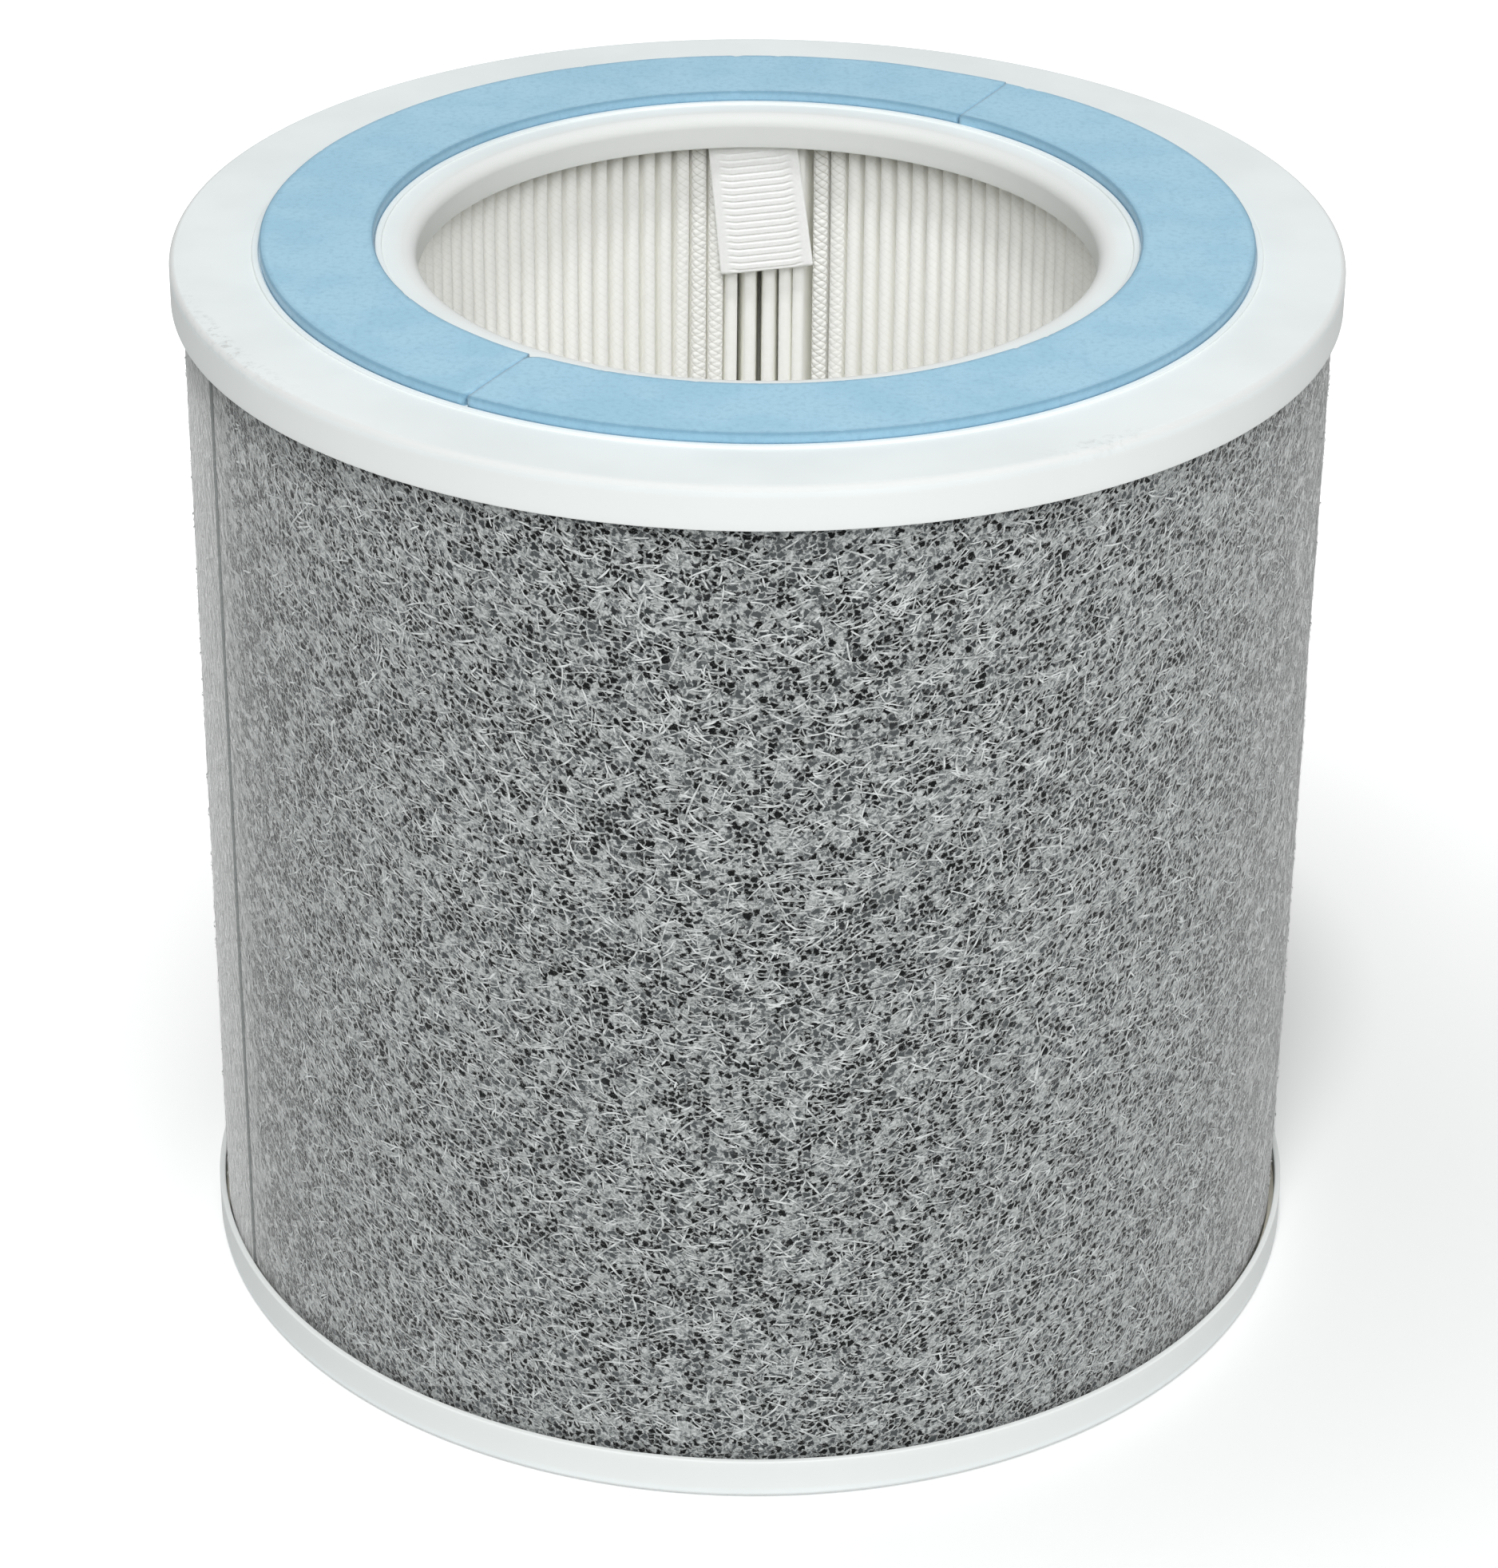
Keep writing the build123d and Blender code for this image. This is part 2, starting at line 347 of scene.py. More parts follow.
def rim_rub(points):
    """Where handling has rubbed the upper rim, from 0 to 1.

    Each rubbed place adds its strength times exp(-((a - azimuth) / spread)^2), and all fade off the rim.
    """
    radius = np.hypot(points[..., 0], points[..., 1])
    angle = np.degrees(np.arctan2(points[..., 1], points[..., 0]))
    at_rim = smooth(radius, CAP_RADIUS - RUB_STARTS, CAP_RADIUS - RUB_FULL)
    high = smooth(points[..., 2], FACE_LEVEL - 2.2 * MM, FACE_LEVEL - 1.0 * MM)
    at_rim = at_rim * high * (1 - 0.6 * smooth(radius, CAP_RADIUS - 0.8 * MM, CAP_RADIUS))
    worn = 0 * angle
    for azimuth, spread, strength in RUBBED_PLACES:
        worn += strength * np.exp(-(((angle - azimuth) / spread) ** 2))
    return at_rim * worn


cap_finish = moulded_white()
upper = turned(cap_section(True), CAP_TURN_STEPS) + np.array([0, 0, FACE_LEVEL])
for azimuth, spread, depth, seed in DENTED_PLACES:
    upper = battered(upper, azimuth, spread, depth, seed)
lower = turned(cap_section(False), CAP_TURN_STEPS) * np.array([1, -1, -1])
caps = (("upper_end_cap", upper, "top_end_cap"), ("lower_end_cap", lower, "bottom_end_cap"))
for name, points, node in caps:
    cap = surface(name, points, wrap_rows=True, wrap_columns=True)
    mark(cap, "rubbed", rim_rub(points))
    radius = np.hypot(points[..., 0], points[..., 1])
    depth = np.abs(points[..., 2] - (FACE_LEVEL if node == "top_end_cap" else 0))
    # Where the collar, the skirts and the rim's rounding take their painted shade.
    at_bore = 1 - smooth(radius, BORE_RADIUS + 1.2 * MM, BORE_RADIUS + 4.5 * MM)
    mark(cap, "walls", np.maximum(at_bore, 0.8 * smooth(depth, 1.2 * MM, 2.6 * MM)))
    at_rim = smooth(radius, CAP_RADIUS - 1.3 * MM, CAP_RADIUS - 0.5 * MM)
    mark(cap, "rim", at_rim * (1 - smooth(depth, 0.5 * MM, 1.4 * MM)))
    cap.data.materials.append(cap_finish)
    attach(cap, "root")
    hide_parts(node)


# Glue beds
# Hot-melt adhesive poured into each cap, in which the pack, the cloth and the tab stand.
# It is translucent and slightly yellow, with a slow ripple left from pouring.

GLUE_CREAM = (226, 222, 206)
GLUE_DRIFT = 16


def set_glue():
    """Glossy cream adhesive with slow ripples."""
    finish, tree, shader = new_finish("set_glue", 0.28)
    place = put(tree, "ShaderNodeTexCoord").outputs["Object"]
    pour = use(tree, cloudy_tone, Place=place, Size=0.012)
    cream = paint(*GLUE_CREAM)
    deep = paint(*(tone - GLUE_DRIFT for tone in GLUE_CREAM))
    feed(tree, shader, Base_Color=mixed(tree, ranged(tree, pour.outputs["Tone"], 0.3, 0.7), deep, cream))
    feed(tree, shader, Normal=relief(tree, pour.outputs["Tone"], 0.5, 0.8 * MM))
    return finish


glue_finish = set_glue()
for node in ("top_glue_bed", "bottom_glue_bed"):
    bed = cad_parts[node]
    bed.data.materials.clear()
    bed.data.materials.append(glue_finish)


# Pleated media
# One off-white fibre sheet folded into 128 pleats and closed into a ring, with its netting laminated on.
# The six pleats behind the pull tab, where it is joined, are uneven and smooth; beside them the net shows.

PACK_BOTTOM = 4.5 * MM
PACK_TOP = 206.0 * MM
MEDIA_THICKNESS = 0.55 * MM
PLEAT_NOSE = 69.15 * MM
PLEAT_BACK = 106.9 * MM
PLEATS = 128
SEAM_RATIOS = (1.24, 0.82, 0.99, 1.13, 1.09, 0.90)
SEAM_START = 79.6
NOSE_ROUND = 0.9 * MM
BACK_ROUND = 0.28 * MM
MEDIA_LEVELS = 24
NOSE_POINTS = 8
BACK_POINTS = 3
FLANK_SHARES = (0.2, 0.6)
FOLD_SWAY = 0.10 * MM
FOLD_SINK = 0.12 * MM
FOLD_CLEARANCE = 0.02 * MM
NETTED_PLEATS = {-1: 0.45, 0: 0.9, 6: 0.6, 7: 0.7, 8: 0.35}
FAINT_NETTING = 0.14
NETTED_WIDER = 1.35
MEDIA_WHITE = (255, 255, 254)
MEDIA_SHADE = (253, 253, 251)
NET_HOLLOW_SHADE = (164, 161, 148)
NET_ACROSS = 1.75 * MM
NET_UP = 1.68 * MM
NET_DEPTH = 10 * MM


def pleat_azimuths():
    """Azimuth of each inner fold, in radians: even, but for the uneven pleats at the joint."""
    ratios = np.ones(PLEATS)
    ratios[:len(SEAM_RATIOS)] = SEAM_RATIOS
    pitches = ratios * 2 * np.pi / ratios.sum()
    return np.radians(SEAM_START) + np.concatenate([[0], np.cumsum(pitches)[:-1]]), pitches


def folded_sheet(netted):
    """Middle surface of the pack as points[fold point, level], with each point's distance from its nose.

    Each pleat is a wide half circle round the inner fold, a straight flank, a tight half circle round the
    outer fold and a flank back. Folds sway and lean a little along their height, and where the netting
    shows most the folds are wider.
    """
    rng = np.random.default_rng(5)
    azimuths, pitches = pleat_azimuths()
    level = np.linspace(PACK_BOTTOM, PACK_TOP, MEDIA_LEVELS)
    share = (level - PACK_BOTTOM) / (PACK_TOP - PACK_BOTTOM)
    held = np.sin(np.pi * share) ** 0.5
    sway = rng.normal(0, FOLD_SWAY, (PLEATS, 3))
    phase = rng.uniform(0, 2 * np.pi, (PLEATS, 3))
    waves = np.array([0.5, 1.0, 2.2])
    swing = sum(
        sway[:, number, None] * np.sin(2 * np.pi * waves[number] * share[None] + phase[:, number, None])
        for number in range(3)
    ) * held
    sink = np.abs(rng.normal(0, FOLD_SINK, (PLEATS, 1))) * held
    turn = np.linspace(-np.pi / 2, np.pi / 2, NOSE_POINTS)
    back_turn = np.linspace(-np.pi / 2, np.pi / 2, BACK_POINTS)
    nose_centre = PLEAT_NOSE + MEDIA_THICKNESS / 2 + NOSE_ROUND + FOLD_CLEARANCE
    width = NOSE_ROUND * (1 + (NETTED_WIDER - 1) * smooth(netted, 0.2, 0.55))[:, None, None]
    back_centre = PLEAT_BACK - MEDIA_THICKNESS / 2 - BACK_ROUND - FOLD_CLEARANCE
    middle = azimuths + pitches / 2

    def at(radius, azimuth, across):
        """Point at a radius, shifted sideways from its azimuth."""
        east = radius * np.cos(azimuth) - across * np.sin(azimuth)
        north = radius * np.sin(azimuth) + across * np.cos(azimuth)
        return np.stack([east, north], axis=-1)

    nose_radius = nose_centre + sink[:, None] - NOSE_ROUND * np.cos(turn)[None, :, None]
    nose_across = width * np.sin(turn)[None, :, None] + swing[:, None]
    noses = at(nose_radius, azimuths[:, None, None], nose_across)
    back_radius = back_centre + BACK_ROUND * np.cos(back_turn)[None, :, None] + 0 * swing[:, None]
    back_across = BACK_ROUND * np.sin(back_turn)[None, :, None] + 0 * swing[:, None]
    backs = at(back_radius, middle[:, None, None], back_across)
    shares = np.array(FLANK_SHARES)
    steps = shares[None, :, None, None]
    next_noses = np.roll(noses, -1, axis=0)
    out_flank = noses[:, -1:] * (1 - steps) + backs[:, :1] * steps
    in_flank = (next_noses[:, :1] * (1 - steps) + backs[:, -1:] * steps)[:, ::-1]
    loop = np.concatenate([noses, out_flank, backs, in_flank], axis=1)
    flank_length = back_centre - nose_centre
    side_start = NOSE_ROUND * np.pi / 2
    from_nose = np.concatenate([
        NOSE_ROUND * turn,
        side_start + flank_length * shares,
        side_start + flank_length + 0 * back_turn,
        -side_start - flank_length * shares[::-1],
    ])
    levels = np.broadcast_to(level[None, None, :, None], (*loop.shape[:3], 1))
    return np.concatenate([loop, levels], axis=-1), from_nose


def place_on(piece, name, places):
    """Writes a vector for each vertex, which a material reads as its place on the flat sheet."""
    held = piece.data.attributes.new(name, "FLOAT_VECTOR", "POINT")
    held.data.foreach_set("vector", np.asarray(places, np.float32).ravel())


def thickened(piece, thickness):
    """Gives a sheet its thickness, half of it to each side."""
    wall = piece.modifiers.new("thickness", "SOLIDIFY")
    wall.thickness = thickness
    wall.offset = 0.0
    wall.use_even_offset = True
    wall.use_quality_normals = True


def fibre_sheet():
    """Off-white wet-laid fibre with a laminated netting: pale beads with thin grooves between them, greyed
    with painted shade.
    """
    finish, tree, shader = new_finish("fibre_sheet", 0.85, **{"Specular IOR Level": 0.2})
    flat = put(tree, "ShaderNodeAttribute", attribute_name="flat_place").outputs["Vector"]
    parts = put(tree, "ShaderNodeSeparateXYZ", {0: flat})
    wobble = noise(tree, flat, 2.5 * MM, 1.0)
    across = maths(tree, "MULTIPLY_ADD", wobble, 0.7 * MM, parts.outputs["X"])
    across = maths(tree, "DIVIDE", across, NET_ACROSS)
    up = maths(tree, "MULTIPLY_ADD", wobble, 0.5 * MM, parts.outputs["Y"])
    up = maths(tree, "DIVIDE", up, NET_UP)
    strands = []
    for way in ("ADD", "SUBTRACT"):
        diagonal = maths(tree, "MULTIPLY", maths(tree, way, up, across), np.pi)
        strands.append(maths(tree, "ABSOLUTE", maths(tree, "COSINE", diagonal)))
    beads = maths(tree, "MULTIPLY", *strands)
    rising, falling = (ranged(tree, strand, 0.5, 0.0) for strand in strands)
    # Painted shade in the hollows between the net's strands, fading away from the folds' noses.
    hollow_shade = maths(tree, "MULTIPLY_ADD", falling, 0.55, maths(tree, "MULTIPLY", rising, 0.3))
    hollow_shade = maths(tree, "MAXIMUM", hollow_shade, maths(tree, "MULTIPLY", rising, falling))
    strength = put(tree, "ShaderNodeAttribute", attribute_name="netting").outputs["Fac"]
    fibres = noise(tree, flat, 0.5 * MM, 3.0, 0.65, 0.6)
    blotches = noise(tree, flat, 1.2 * MM, 3.0)
    base = mixed(tree, ranged(tree, blotches, 0.25, 0.75), paint(*MEDIA_SHADE), paint(*MEDIA_WHITE))
    base = mixed(tree, maths(tree, "MULTIPLY", hollow_shade, strength), base, paint(*NET_HOLLOW_SHADE))
    lift = maths(tree, "MULTIPLY", beads, strength)
    lift = maths(tree, "MULTIPLY_ADD", fibres, 0.12, lift)
    feed(tree, shader, Base_Color=base, Normal=relief(tree, lift, 0.5, 0.35 * MM))
    return finish


netted = np.full(PLEATS, FAINT_NETTING)
netted[:len(SEAM_RATIOS)] = 0.0
for number, strength in NETTED_PLEATS.items():
    netted[number] = strength
folds, from_nose = folded_sheet(netted)
pleat_number = np.arange(PLEATS)[:, None, None] + np.zeros(folds.shape[:3])
flat_place = np.stack([
    np.broadcast_to(from_nose[None, :, None], folds.shape[:3]), folds[..., 2], pleat_number * 0.05
], axis=-1)
media = surface("pleated_pack", folds.reshape(-1, MEDIA_LEVELS, 3), wrap_rows=True)
place_on(media, "flat_place", flat_place)
near_nose = 1 - smooth(np.abs(from_nose), NET_DEPTH / 3, NET_DEPTH)
mark(media, "netting", np.broadcast_to(netted[:, None, None] * near_nose[None, :, None], folds.shape[:3]))
thickened(media, MEDIA_THICKNESS)
media.data.materials.append(fibre_sheet())
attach(media, "root")
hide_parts("pleated_media")


# Carbon cloth wrap
# A grey non-woven web over dark carbon grains, wound once round the pack from behind the left side.
# Its end laps over its start by 25 mm; pale loose strands lie on it.
# The strands and the web's texture lean in wide sweeps round the front, painting the arcs of the fibres'
# highlights.

WRAP_INSIDE = 107.0 * MM
WRAP_THICKNESS = 0.8 * MM
WRAP_RISE = 0.55 * MM
WRAP_DRIFT = 0.45 * MM
WRAP_END = 203.4
WRAP_LAP = 25.0 * MM
WRAP_RAMP = 10.0 * MM
WRAP_STEP = 2.4 * MM
WEB_GREY = (136, 141, 140)
WEB_PALE = (192, 196, 195)
WEB_PRESSED = (112, 116, 114)
FELT_PALE = (156, 160, 158)
WEB_CLOSED_AND_SHADED = (82, 86, 85)
PIT_GREY = (78, 82, 83)
PIT_BLACK = (8, 10, 11)
CUT_GREY = (136, 140, 139)
STRAND_GREY = (158, 162, 161)
STRAND_PALE = (214, 218, 217)
WEB_HIGHLIGHT_LEAN = 0.6
STRANDS = 27000
STRAND_HIGHLIGHT_LEAN = 62.0
STRAND_SPREAD = 30.0
STRANDS_START = WRAP_END - 358.0
STRANDS_FULL = WRAP_END - 342.0
STRANDS_STOP = WRAP_END - 12.5
STRAND_MARGIN = 3.2 * MM
STRAND_TUCK = 2.8 * MM
STRAY_SHARE = 0.22
STRAND_LIFT = 0.34 * MM
CLOTH_SWELL = 0.16 * MM
PRESSED_END = 21.0 * MM


def climb_azimuths():
    """Azimuths at which the sheet starts, starts to climb over itself and has climbed, in degrees."""
    lap_radius = WRAP_INSIDE + WRAP_THICKNESS + WRAP_RISE
    climbed = WRAP_END - np.degrees(WRAP_LAP / lap_radius)
    return climbed - 360, climbed - np.degrees(WRAP_RAMP / lap_radius), climbed


def cloth_radius(azimuth, height):
    """Radius of the cloth's middle: a spiral that climbs at its lap, and swells a little where it is free.

    The lap is pressed together, and the top of the cloth stands a little to the right.
    """
    start, climbing, climbed = climb_azimuths()
    radius = WRAP_INSIDE + WRAP_THICKNESS / 2 + WRAP_RISE * smooth(azimuth, climbing, climbed)
    angle = np.radians(azimuth)
    places = np.stack(np.broadcast_arrays(radius * np.cos(angle), radius * np.sin(angle), height), axis=-1)
    free = smooth(height, 9 * MM, 30 * MM) * (1 - smooth(height, 180 * MM, 201 * MM))
    single = smooth(azimuth, start + 20, start + 34) * (1 - smooth(azimuth, climbing - 14, climbing - 2))
    drift = WRAP_DRIFT * np.cos(angle) * height / PACK_TOP
    return radius + drift + CLOTH_SWELL * ripple(places, 12, 60 * MM, 18 * MM, 21) * free * single


def wound_sheet():
    """Middle surface of the cloth: x = r(a) cos a, y = r(a) sin a, and its place on the flat sheet.

    The place is (arc, height + lean R sin b), with b the azimuth from the left side, so that what is
    drawn on it leans one way left of the front and the other way right of it, as painted highlight arcs.
    """
    start = climb_azimuths()[0]
    middle = WRAP_INSIDE + WRAP_THICKNESS / 2
    length = np.radians(WRAP_END - start) * middle
    azimuth = np.linspace(start, WRAP_END, int(length / WRAP_STEP) + 1)[:, None]
    azimuth = np.insert(azimuth, -1, WRAP_END - 0.04, axis=0)
    height = np.linspace(PACK_BOTTOM, PACK_TOP, int((PACK_TOP - PACK_BOTTOM) / WRAP_STEP) + 1)[None]
    radius = cloth_radius(azimuth, height)
    angle = np.radians(azimuth) + 0 * height
    points = np.stack([radius * np.cos(angle), radius * np.sin(angle), height + 0 * angle], axis=-1)
    # Painted highlight: the web's texture leans along the arcs of the fibres' highlights.
    highlight_leaned = height + WEB_HIGHLIGHT_LEAN * middle * np.cos(angle + np.pi / 2)
    arc = np.radians(azimuth - start) * middle + 0 * height
    return points, np.stack([arc, highlight_leaned, 0 * angle], -1), arc


def loose_strands():
    """Flat strands of the web: each follows s = l t cos h, z = l t sin h with a slight curl.

    Its heading h leans one way left of the front and the other way right of it, with a wide spread, so that
    the pale strands paint the arcs of the fibres' highlights; its middle stands a little clear of the cloth.
    Three four-sided faces make one strand. Few lie beside the lap, where the cloth is closed and felty.
    """
    rng = np.random.default_rng(8)
    middle = WRAP_INSIDE + WRAP_THICKNESS / 2
    azimuth = rng.uniform(STRANDS_START, STRANDS_STOP, STRANDS)
    azimuth = azimuth[rng.random(STRANDS) < 0.25 + 0.75 * smooth(azimuth, STRANDS_START, STRANDS_FULL)]
    count = len(azimuth)
    low, high = SKIRT_HEIGHT + STRAND_MARGIN, FACE_LEVEL - SKIRT_HEIGHT - STRAND_MARGIN
    height = rng.uniform(low, high, count)
    # Painted highlight: the pale strands lean along the arcs of the fibres' highlights.
    heading = np.radians(STRAND_HIGHLIGHT_LEAN * np.sin(np.radians(azimuth + 90)) + rng.normal(0, STRAND_SPREAD, count))
    stray = rng.random(count) < STRAY_SHARE
    heading = np.where(stray, rng.uniform(-np.pi / 2, np.pi / 2, count), heading)
    length = np.clip(rng.lognormal(np.log(2.8 * MM), 0.45, count), 1.3 * MM, 9 * MM)
    curl = rng.normal(0, 0.14, count) / MM
    width = rng.uniform(0.2 * MM, 0.4 * MM, count)
    along = np.linspace(-0.5, 0.5, 4)[None, :, None]
    side = np.array([-0.5, 0.5])[None, None, :]
    heading, length, curl, width = (value[:, None, None] for value in (heading, length, curl, width))
    reach = length * along
    bend = curl * reach ** 2 / 2
    taper = 1 - 0.45 * np.abs(2 * along) ** 3
    across = bend + width * taper * side
    step = reach * np.cos(heading) - across * np.sin(heading)
    height = height[:, None, None] + reach * np.sin(heading) + across * np.cos(heading)
    height = np.clip(height, low - STRAND_TUCK, high + STRAND_TUCK)
    azimuth = np.minimum(azimuth[:, None, None] + np.degrees(step / middle), WRAP_END - 0.1)
    lift = rng.uniform(0.0, STRAND_LIFT, (count, 1, 1)) * (1 - (2 * along) ** 2) + 0.015 * MM
    radius = cloth_radius(azimuth, height) + WRAP_THICKNESS / 2 + lift
    angle = np.radians(azimuth)
    corners = np.stack([radius * np.cos(angle), radius * np.sin(angle), height], axis=-1)
    index = np.arange(count * 8).reshape(count, 4, 2)
    faces = np.stack([index[:, :-1, 0], index[:, 1:, 0], index[:, 1:, 1], index[:, :-1, 1]], axis=-1)
    return corners.reshape(-1, 3), faces.reshape(-1, 4)


def pits(tree, place, size, wall, share):
    """Openings between strands: walled cells, a share of them open, and a random number for each cell."""
    spots = {"Vector": place, "Scale": 1 / size}
    edge = put(tree, "ShaderNodeTexVoronoi", spots, feature="DISTANCE_TO_EDGE", voronoi_dimensions="2D")
    cell = put(tree, "ShaderNodeTexVoronoi", spots, feature="F1", voronoi_dimensions="2D")
    lots = put(tree, "ShaderNodeSeparateColor", {0: cell.outputs["Color"]}).outputs
    chosen = ranged(tree, maths(tree, "SUBTRACT", share, lots[0]), -0.02, 0.02)
    gap = ranged(tree, edge.outputs["Distance"], wall, wall + 0.14)
    return maths(tree, "MULTIPLY", gap, chosen), lots[1]


def carbon_cloth():
    """Grey fibrous web with angular pits that show the dark grains; its wound end is pressed smooth, and
    beside the lap the web is closed and felty, darkened there also by painted shade.
    """
    sockets = {"Sheen Weight": 1.0, "Sheen Roughness": 0.35, "Specular IOR Level": 0.1}
    finish, tree, shader = new_finish("carbon_cloth", 0.95, **sockets)
    flat = put(tree, "ShaderNodeAttribute", attribute_name="flat_place").outputs["Vector"]
    open_web = put(tree, "ShaderNodeAttribute", attribute_name="open_web").outputs["Fac"]
    pressed = put(tree, "ShaderNodeAttribute", attribute_name="pressed").outputs["Fac"]
    cut = put(tree, "ShaderNodeAttribute", attribute_name="cut_end").outputs["Fac"]
    links = {"Vector": flat, "Scale": 1 / (0.9 * MM), "Detail": 2.0}
    drift = put(tree, "ShaderNodeTexNoise", links, noise_dimensions="2D")
    links = {0: drift.outputs["Color"], 1: (0.5, 0.5, 0.5)}
    moved = put(tree, "ShaderNodeVectorMath", links, operation="SUBTRACT")
    links = {0: moved.outputs[0], 1: (1.3 * MM, 1.3 * MM, 0.0), 2: flat}
    ragged = put(tree, "ShaderNodeVectorMath", links, operation="MULTIPLY_ADD").outputs[0]
    drawn = put(tree, "ShaderNodeMapping", {"Vector": ragged, "Scale": (0.9, 1.0, 1.0)}).outputs[0]
    crowd = ranged(tree, noise(tree, flat, 7 * MM, 2.0, space="2D"), 0.32, 0.68)
    share = maths(tree, "MULTIPLY", maths(tree, "MULTIPLY_ADD", crowd, 0.3, 0.55), open_web)
    large, lot = pits(tree, drawn, 1.28 * MM, 0.06, share)
    small, _ = pits(tree, drawn, 0.75 * MM, 0.07, maths(tree, "MULTIPLY", 0.5, open_web))
    streaked = put(tree, "ShaderNodeMapping", {"Vector": ragged, "Scale": (0.75, 1.0, 1.0)}).outputs[0]
    web = noise(tree, streaked, 0.5 * MM, 3.0, 0.6, space="2D")
    base = mixed(tree, ranged(tree, web, 0.36, 0.64), paint(*WEB_GREY), paint(*WEB_PALE))
    base = mixed(tree, maths(tree, "MULTIPLY", small, 0.75), base, paint(*PIT_GREY))
    black = ranged(tree, maths(tree, "MULTIPLY_ADD", crowd, 0.3, lot), 0.3, 0.75)
    base = mixed(tree, large, base, mixed(tree, black, paint(*PIT_GREY), paint(*PIT_BLACK)))
    # Beside the lap's edge the web is closed and felty; its darker tone there is also painted shade beside
    # the lap's step.
    closed = maths(tree, "SUBTRACT", maths(tree, "SUBTRACT", 1.0, open_web), pressed)
    felt = noise(tree, flat, 2.2 * MM, 3.0, 0.6, space="2D")
    matted = ranged(tree, felt, 0.38, 0.62)
    for place, strength, dark in ((closed, 0.85, WEB_CLOSED_AND_SHADED), (pressed, 0.8, WEB_PRESSED)):
        smoothed = mixed(tree, matted, paint(*dark), paint(*FELT_PALE))
        base = mixed(tree, maths(tree, "MULTIPLY", place, strength), base, smoothed)
    base = mixed(tree, cut, base, paint(*CUT_GREY))
    depth = maths(tree, "ADD", maths(tree, "MULTIPLY", small, 0.4), maths(tree, "MULTIPLY", large, 0.9))
    height = maths(tree, "SUBTRACT", maths(tree, "MULTIPLY", web, 0.6), depth)
    height = maths(tree, "MULTIPLY_ADD", felt, maths(tree, "MULTIPLY_ADD", open_web, -2.2, 2.5), height)
    feed(tree, shader, Base_Color=base, Normal=relief(tree, height, 0.7, 0.35 * MM))
    return finish


def strand_finish():
    """Pale polyester strand with a soft shine."""
    finish, tree, shader = new_finish("pale_strand", 0.6, **{"Sheen Weight": 0.3, "Specular IOR Level": 0.3})
    place = put(tree, "ShaderNodeTexCoord").outputs["Object"]
    tone = ranged(tree, noise(tree, place, 1.6 * MM, 2.0), 0.35, 0.65)
    feed(tree, shader, Base_Color=mixed(tree, tone, paint(*STRAND_GREY), paint(*STRAND_PALE)))
    return finish


strands = piece_of("wrap_strands", *loose_strands())
strands.data.materials.append(strand_finish())
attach(strands, "root")
wound, flat_place, arc = wound_sheet()
wound_length = float(arc[-1, 0])
wrap = surface("carbon_cloth_wrap", wound)
place_on(wrap, "flat_place", flat_place)
pressed = smooth(arc, wound_length - PRESSED_END - 3 * MM, wound_length - PRESSED_END)
mark(wrap, "pressed", pressed)
mark(wrap, "open_web", (1 - pressed) * smooth(arc, WRAP_LAP + 1 * MM, WRAP_LAP + 11 * MM))
mark(wrap, "cut_end", arc > wound_length - 0.01 * MM)
thickened(wrap, WRAP_THICKNESS)
wrap.data.materials.append(carbon_cloth())
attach(wrap, "root")
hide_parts("carbon_wrap")


# Pull tab
# A strip of white ribbed webbing, folded into a loop and glued in behind the collar.
# It hangs a little askew; its ribs run across it and its two edges are smooth.

TAB_WIDTH = 18.3 * MM
TAB_FLARE = 0.03
TAB_THICKNESS = 0.8 * MM
TAB_LOOP_GAP = 0.3 * MM
TAB_FRONT = 66.1 * MM
TAB_DROP = 27.6 * MM
TAB_LEAN = 6.65
TAB_OFFSET = 0.4 * MM
COLLAR_LIP = 203.7 * MM
RIB_PITCH = 1.48 * MM
RIB_RELIEF = 0.12 * MM
SMOOTH_EDGE = 1.9 * MM
RIB_HOOK = 0.5 * MM
TAB_STATIONS = 44
TAB_WHITE = (253, 254, 254)
TAB_DRIFT = 5


